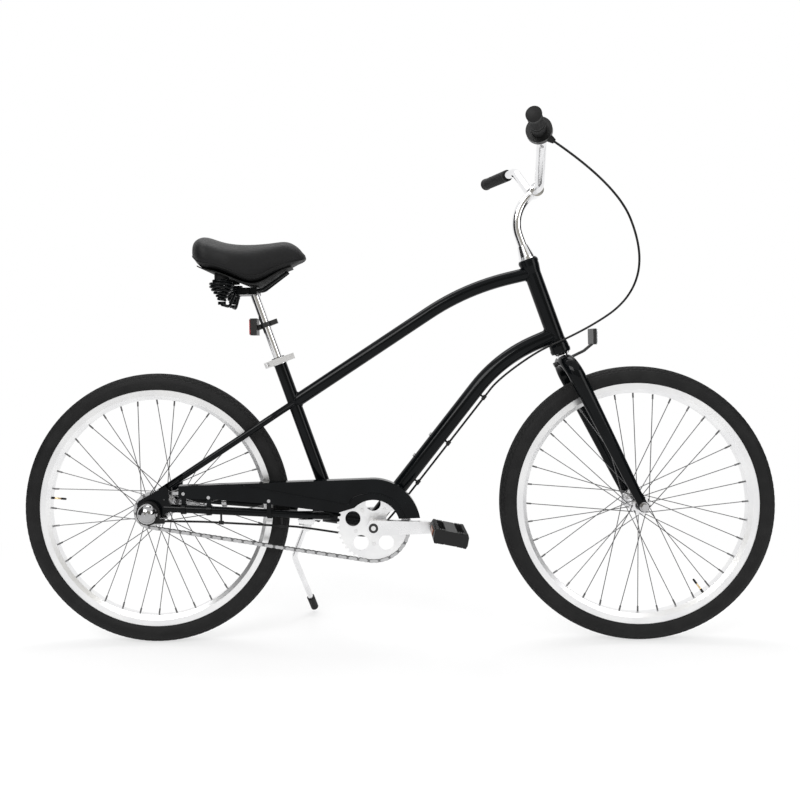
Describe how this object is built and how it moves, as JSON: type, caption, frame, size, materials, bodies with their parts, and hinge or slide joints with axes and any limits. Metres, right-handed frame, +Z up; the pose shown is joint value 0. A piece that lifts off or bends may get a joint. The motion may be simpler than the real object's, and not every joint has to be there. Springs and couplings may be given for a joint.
{
  "type": "beach cruiser bicycle",
  "caption": "Crank-forward beach cruiser bicycle with bent frame tubes, gooseneck stem, riser bar, sprung saddle, chain guard, geared coaster hub and kickstand.",
  "frame": {"origin": "on the ground, midway between the two axles, in the bicycle's middle plane", "axes": "+X forwards, +Y to the rider's left, +Z up"},
  "size_m": [1.8128, 0.6492, 1.1957],
  "materials": {
    "frame_paint": "gloss black paint",
    "guard_black": "gloss black",
    "chrome": "bright chrome",
    "alloy": "satin silver",
    "steel": "bright steel",
    "tyre_rubber": "matt black rubber",
    "rubber": "matt black rubber",
    "black_plastic": "matt black plastic",
    "black_steel": "black",
    "vinyl": "black vinyl",
    "cable_cover": "black cable housing"
  },
  "bodies": {
    "frame": {"head_tube": "frame_paint", "headset_cups": "chrome", "bottom_bracket_shell": "frame_paint", "seat_tube": "frame_paint", "top_tube": "frame_paint", "down_tube": "frame_paint", "rear_dropouts": "frame_paint", "chainstays": "frame_paint", "seatstays": "frame_paint", "seat_collar": "alloy", "rear_axle": "steel", "shift_unit": "black_plastic", "shift_cap": "chrome", "brake_arm": "steel", "bottom_bracket_cups": "steel", "chain": "steel", "chain_guard": "guard_black", "guard_brackets": "guard_black", "frame_screws": "steel", "kickstand_bracket": "alloy", "shift_cable_frame": "cable_cover", "cable_guides": "black_plastic"},
    "seat": {"seat_post": "chrome", "saddle_frame": "black_steel", "saddle_clamp": "black_steel", "saddle_springs": "black_steel", "saddle_cover": "vinyl", "saddle_base": "black_plastic", "tail_reflector": "black_plastic"},
    "collar_lever": {"collar_lever": "alloy"},
    "steering": {"fork_blades": "frame_paint", "fork_steerer": "frame_paint", "headset_locknut": "chrome", "stem": "chrome", "handlebar": "chrome", "grips": "rubber", "shifter_body": "black_plastic", "shift_cable_loop": "cable_cover", "front_reflector": "black_plastic", "front_axle": "steel"},
    "twist_ring": {"twist_ring": "black_plastic"},
    "front_wheel": {"front_tyre": "tyre_rubber", "front_rim": "alloy", "front_spokes": "steel", "front_hub_shell": "alloy"},
    "rear_wheel": {"rear_tyre": "tyre_rubber", "rear_rim": "alloy", "rear_spokes": "steel", "rear_hub_shell": "alloy"},
    "driver": {"rear_sprocket": "steel"},
    "crank": {"crank_spindle": "steel", "crank_arm_right": "alloy", "crank_arm_left": "alloy", "chainring": "alloy", "crankset_bolts": "steel", "pedal_spindles": "steel"},
    "pedal_right": {"pedal_right": "black_plastic"},
    "pedal_left": {"pedal_left": "black_plastic"},
    "kickstand": {"kickstand_leg": "alloy", "kickstand_foot": "rubber"}
  },
  "joints": [
    {"name": "steering_turn", "type": "hinge", "parent": "frame", "child": "steering", "pos_m": [0.53249, 0, 0.3265], "axis": [-0.3206, 0, 0.9472], "range_deg": [-60, 60], "deforming": ["shift_cable_loop"]},
    {"name": "front_wheel_spin", "type": "hinge", "parent": "steering", "child": "front_wheel", "pos_m": [0.58, 0, 0.3265], "axis": [0, 1, 0], "continuous": true},
    {"name": "rear_wheel_spin", "type": "hinge", "parent": "frame", "child": "rear_wheel", "pos_m": [-0.58, 0, 0.3265], "axis": [0, 1, 0], "continuous": true},
    {"name": "crank_spin", "type": "hinge", "parent": "frame", "child": "crank", "pos_m": [-0.051, 0, 0.2875], "axis": [0, 1, 0], "continuous": true, "deforming": ["chain"]},
    {"name": "driver_spin", "type": "hinge", "parent": "frame", "child": "driver", "pos_m": [-0.58, 0, 0.3265], "axis": [0, 1, 0], "continuous": true},
    {"name": "pedal_right_spin", "type": "hinge", "parent": "crank", "child": "pedal_right", "pos_m": [0.119, 0, 0.2875], "axis": [0, 1, 0], "continuous": true},
    {"name": "pedal_left_spin", "type": "hinge", "parent": "crank", "child": "pedal_left", "pos_m": [-0.221, 0, 0.2875], "axis": [0, 1, 0], "continuous": true},
    {"name": "seat_height", "type": "slide", "parent": "frame", "child": "seat", "axis": [-0.3305, 0, 0.9438], "range_m": [-0.05, 0.06]},
    {"name": "collar_lever_turn", "type": "hinge", "parent": "frame", "child": "collar_lever", "pos_m": [-0.3028, -0.02, 0.66898], "axis": [0.3305, 0, -0.9438], "range_deg": [0, 150]},
    {"name": "twist_shift", "type": "hinge", "parent": "steering", "child": "twist_ring", "pos_m": [0.286, -0.316, 1.1706], "axis": [0.309, 0.9507, -0.0273], "range_deg": [0, 70]},
    {"name": "kickstand_fold", "type": "hinge", "parent": "frame", "child": "kickstand", "pos_m": [-0.215, 0.042, 0.2805], "axis": [0, 0.9568, 0.2907], "range_deg": [0, 78]}
  ],
  "couplings": [
    {"joint": "driver_spin", "follows": "crank_spin", "ratio": 2.1}
  ]
}
